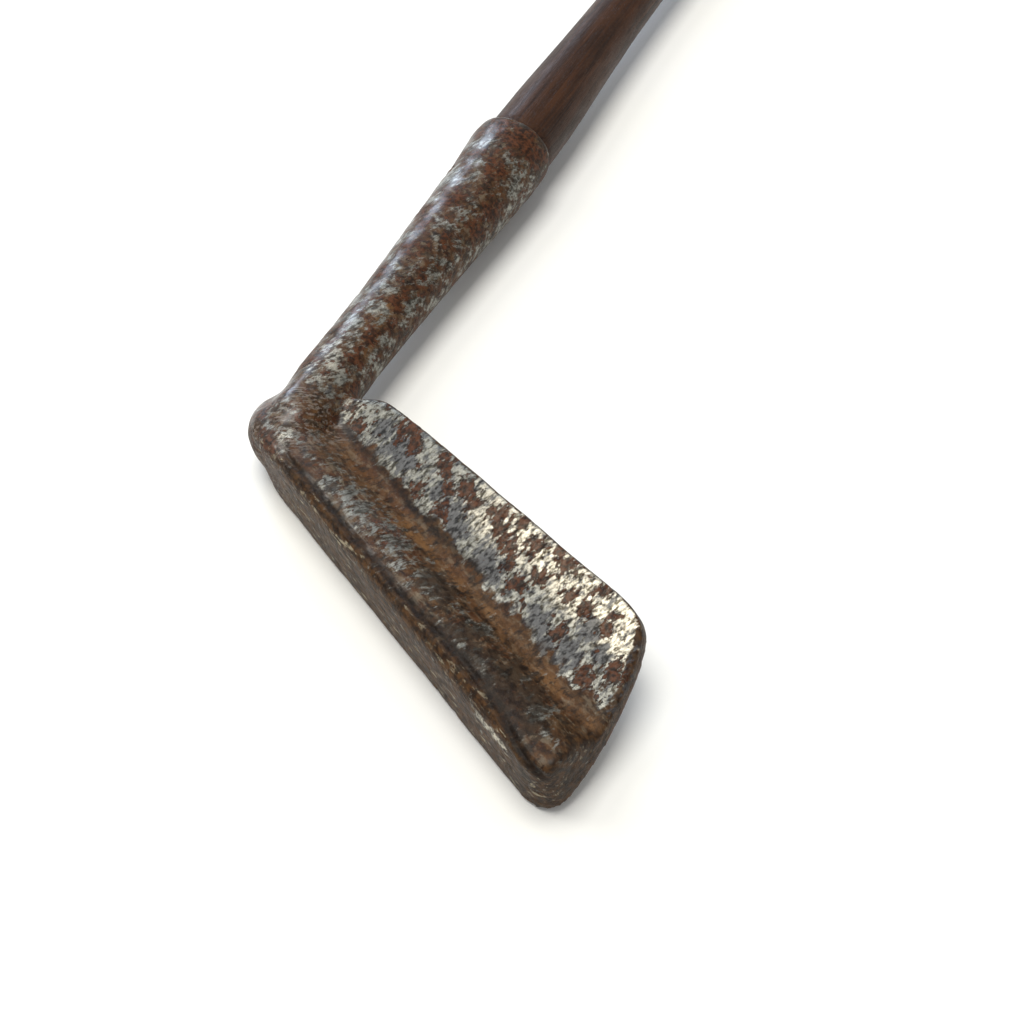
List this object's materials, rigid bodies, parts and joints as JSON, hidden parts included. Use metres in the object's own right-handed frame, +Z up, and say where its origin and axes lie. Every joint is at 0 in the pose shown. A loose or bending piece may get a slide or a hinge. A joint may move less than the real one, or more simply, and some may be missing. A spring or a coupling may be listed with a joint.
{
  "type": "hickory-shafted golf iron",
  "caption": "Old right-handed golf iron: a forged muscle-back head with a tapered socket on a hickory shaft with a leather grip, lying face down.",
  "frame": {"origin": "middle of the club's box, on the plane the club lies on", "axes": "+Y up the shaft to the butt, +X towards the toe's side, +Z up, away from the plane it lies on"},
  "size_m": [0.0918, 0.9892, 0.0269],
  "materials": {
    "rusted_iron": "forged iron, rubbed pale on the upper blade, brown with rust on the muscle, sole and hosel",
    "pin_steel": "dull steel with brown stains",
    "hickory": "dark stained hickory, old shellac, straight grain",
    "underlisting_cloth": "coarse woven cloth strip",
    "grip_leather": "dark brown hide, worn smooth, suede edge",
    "waxed_thread": "black waxed linen thread"
  },
  "bodies": {
    "root": {"iron_head": "rusted_iron", "shaft": "hickory", "hosel_pin": "pin_steel", "grip_underlisting": "underlisting_cloth", "grip_leather": "grip_leather", "lower_whipping": "waxed_thread", "upper_whipping": "waxed_thread", "lower_grip_tack": "pin_steel", "butt_tack": "pin_steel"}
  },
  "joints": []
}
